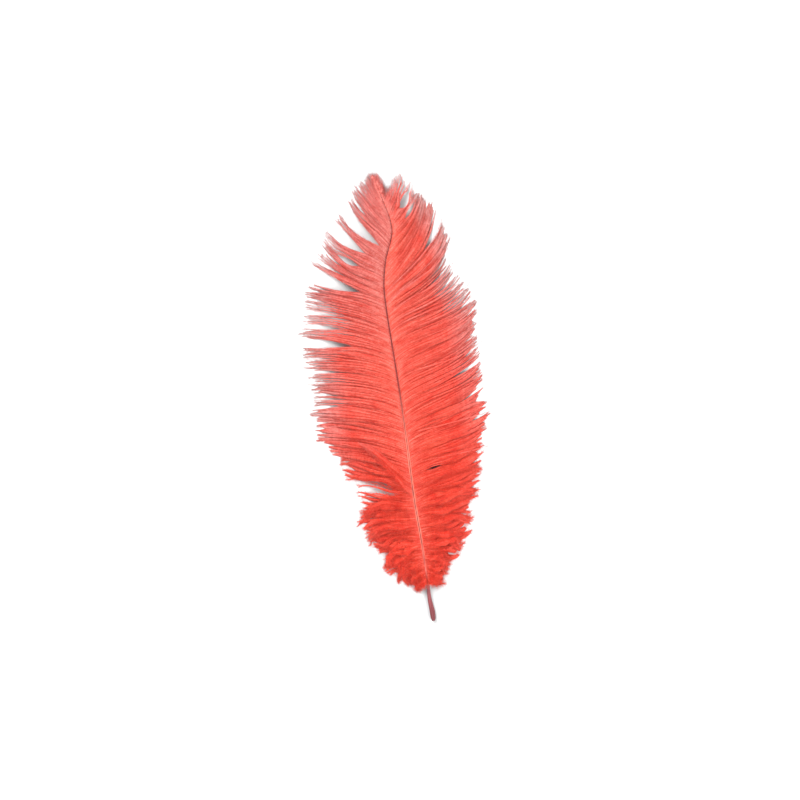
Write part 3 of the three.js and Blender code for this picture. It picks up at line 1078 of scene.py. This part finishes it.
# %% [markdown]
# ## Dyed horn
#
# The quill has taken the dye to a dull plum. The shaft above it is lighter, with two bright edges
# on both sides of the groove, which is darkened by painted shade. Towards the tip it darkens to a thin
# line, partly its own darker colour and partly painted shade of the hollow between the barbs.

# %% Quill and shaft finish
# shares of the plume's length, and the horn's colour there; from halfway up it darkens, partly its own
# darker colour and partly painted shade of the hollow between the barbs that the shaft lies in
HORN = (
    (0.0, (92, 34, 38)),
    (0.07, (114, 50, 54)),
    (0.1, (200, 94, 82)),
    (0.2, (224, 118, 98)),
    (0.4, (220, 112, 92)),
    (0.52, (136, 38, 28)),
    (0.75, (100, 20, 14)),
    (1.0, (124, 34, 28)),
)
# painted shade: a dark red that stands for the shadow down in the groove
GROOVE_PAINTED_SHADE = (70, 6, 4)
# shares of the plume's length, and how much of the groove's painted shade shows there
GROOVE_SHADE_SHOWING = ((0.1, 0), (0.18, 0.9))
FIBRE_SHADE = (205, 190, 190)
FIBRE_RANGE = (0.3, 0.65)
FIBRES = (2600, 120, 2600)
# one over the plume's length in metres, which makes shares of it out of places in the frame
PLUME_SCALE = 5.55


def horn_material():
    """Horn from the plum quill to the tip, which is dark partly by painted shade, with painted shade
    darkening the groove and fine fibres along it.
    """
    material = bpy.data.materials.new("dyed horn")
    material.use_nodes = True
    tree = material.node_tree
    surface = tree.nodes["Principled BSDF"]
    surface.inputs["Roughness"].default_value = 0.5
    surface.inputs["Specular IOR Level"].default_value = 0.3
    surface.inputs["Subsurface Weight"].default_value = 0.15
    surface.inputs["Subsurface Scale"].default_value = 0.001
    surface.inputs["Subsurface Radius"].default_value = (1.0, 0.35, 0.25)
    place = tree.nodes.new("ShaderNodeTexCoord")
    shift = add(tree, "ShaderNodeMapping", Location=(0, 0.5, 0), Scale=(1, PLUME_SCALE, 1))
    tree.links.new(place.outputs["Object"], shift.inputs["Vector"])
    parts = tree.nodes.new("ShaderNodeSeparateXYZ")
    tree.links.new(shift.outputs["Vector"], parts.inputs[0])
    length_colour = ramp(tree, parts.outputs["Y"], [(y, dye(*colour)) for y, colour in HORN])
    # painted shade in the groove: the attribute times how much of it shows at each place
    groove_shade_mask = add(tree, "ShaderNodeAttribute")
    groove_shade_mask.attribute_name = GROOVE
    shown = ramp(tree, parts.outputs["Y"], [(y, grey(share)) for y, share in GROOVE_SHADE_SHOWING])
    painted_shade = tree.nodes.new("ShaderNodeMath")
    painted_shade.operation = "MULTIPLY"
    tree.links.new(groove_shade_mask.outputs["Fac"], painted_shade.inputs[0])
    tree.links.new(shown, painted_shade.inputs[1])
    length_colour = mixed(tree, "MIX", painted_shade.outputs[0], length_colour, dye(*GROOVE_PAINTED_SHADE))
    grain = add(tree, "ShaderNodeMapping", Scale=FIBRES)
    tree.links.new(place.outputs["Object"], grain.inputs["Vector"])
    fibres = add(tree, "ShaderNodeTexNoise", Scale=1.0, Detail=4.0)
    tree.links.new(grain.outputs["Vector"], fibres.inputs["Vector"])
    darkest, plain = FIBRE_RANGE
    fibre_tones = [(darkest, dye(*FIBRE_SHADE)), (plain, dye(*WHITE))]
    fibre_colour = ramp(tree, fibres.outputs["Fac"], fibre_tones)
    colour = mixed(tree, "MULTIPLY", 1.0, length_colour, fibre_colour)
    tree.links.new(colour, surface.inputs["Base Color"])
    return material


shaft.data.materials.clear()
shaft.data.materials.append(horn_material())
print(shaft.name, "has", shaft.data.materials[0].name)

# %% [markdown]
# ## Table, light and camera
#
# The photograph is a plain one on white. A pale floor, one large soft lamp from the upper left, a
# weaker one opposite and a bright surrounding give soft shadows between the locks and none of the
# hard edges that would make down look like wire. The camera looks straight down from far enough
# away that nothing leans.

# %% Floor
FLOOR_RADIUS = 0.5
FLOOR_SHADE = 0.37
bpy.ops.object.select_all(action="DESELECT")
bpy.ops.mesh.primitive_circle_add(
    radius=FLOOR_RADIUS, vertices=96, fill_type="NGON", location=(0, 0, 0)
)
floor = bpy.context.object
floor.name = "floor"
paper = bpy.data.materials.new("pale paper")
paper.use_nodes = True
paper_surface = paper.node_tree.nodes["Principled BSDF"]
paper_surface.inputs["Base Color"].default_value = grey(FLOOR_SHADE)
paper_surface.inputs["Roughness"].default_value = 0.9
floor.data.materials.append(paper)
print("floor, m across:", 2 * FLOOR_RADIUS)

# %% Lamps
def lamp(name, place, size, watts):
    """A round soft lamp that shines at the middle of the floor."""
    bpy.ops.object.light_add(type="AREA", location=place)
    made = bpy.context.object
    made.name = name
    made.data.shape = "DISK"
    made.data.size = size
    made.data.energy = watts
    away = np.array(place) / np.linalg.norm(place)
    made.rotation_euler = (math.acos(away[2]), 0, math.atan2(away[1], away[0]) + math.pi / 2)
    print(name, "of", watts, "W")


lamp("key lamp", place=(-0.42, 0.5, 0.7), size=0.5, watts=18.0)
lamp("fill lamp", place=(0.6, -0.35, 0.6), size=0.6, watts=10.5)
scene = bpy.context.scene
scene.world = bpy.data.worlds.new("surrounding")
scene.world.use_nodes = True
surrounding = scene.world.node_tree.nodes["Background"]
surrounding.inputs["Color"].default_value = grey(1)
surrounding.inputs["Strength"].default_value = 1.4
scene.view_settings.view_transform = "Standard"

# %% Camera
MM_PER_PIXEL = 0.4
QUILL_END_PIXEL = (434, 622.5)
LENS, SENSOR = 85, 36
PICTURE = 800
VANE_HEIGHT = 7
picture_width = PICTURE * MM_PER_PIXEL
distance = picture_width * LENS / SENSOR + VANE_HEIGHT
middle_x = QUILL_END[0] + (PICTURE / 2 - QUILL_END_PIXEL[0]) * MM_PER_PIXEL
middle_y = QUILL_END[1] + (QUILL_END_PIXEL[1] - PICTURE / 2) * MM_PER_PIXEL
camera_place = (middle_x / 1000, middle_y / 1000, distance / 1000)
bpy.ops.object.camera_add(location=camera_place, rotation=(0, 0, 0))
camera = bpy.context.object
camera.data.lens = LENS
camera.data.sensor_width = SENSOR
camera.data.clip_start = 0.01
scene.camera = camera
print("camera", round(distance), "mm up, picture", picture_width, "mm wide")
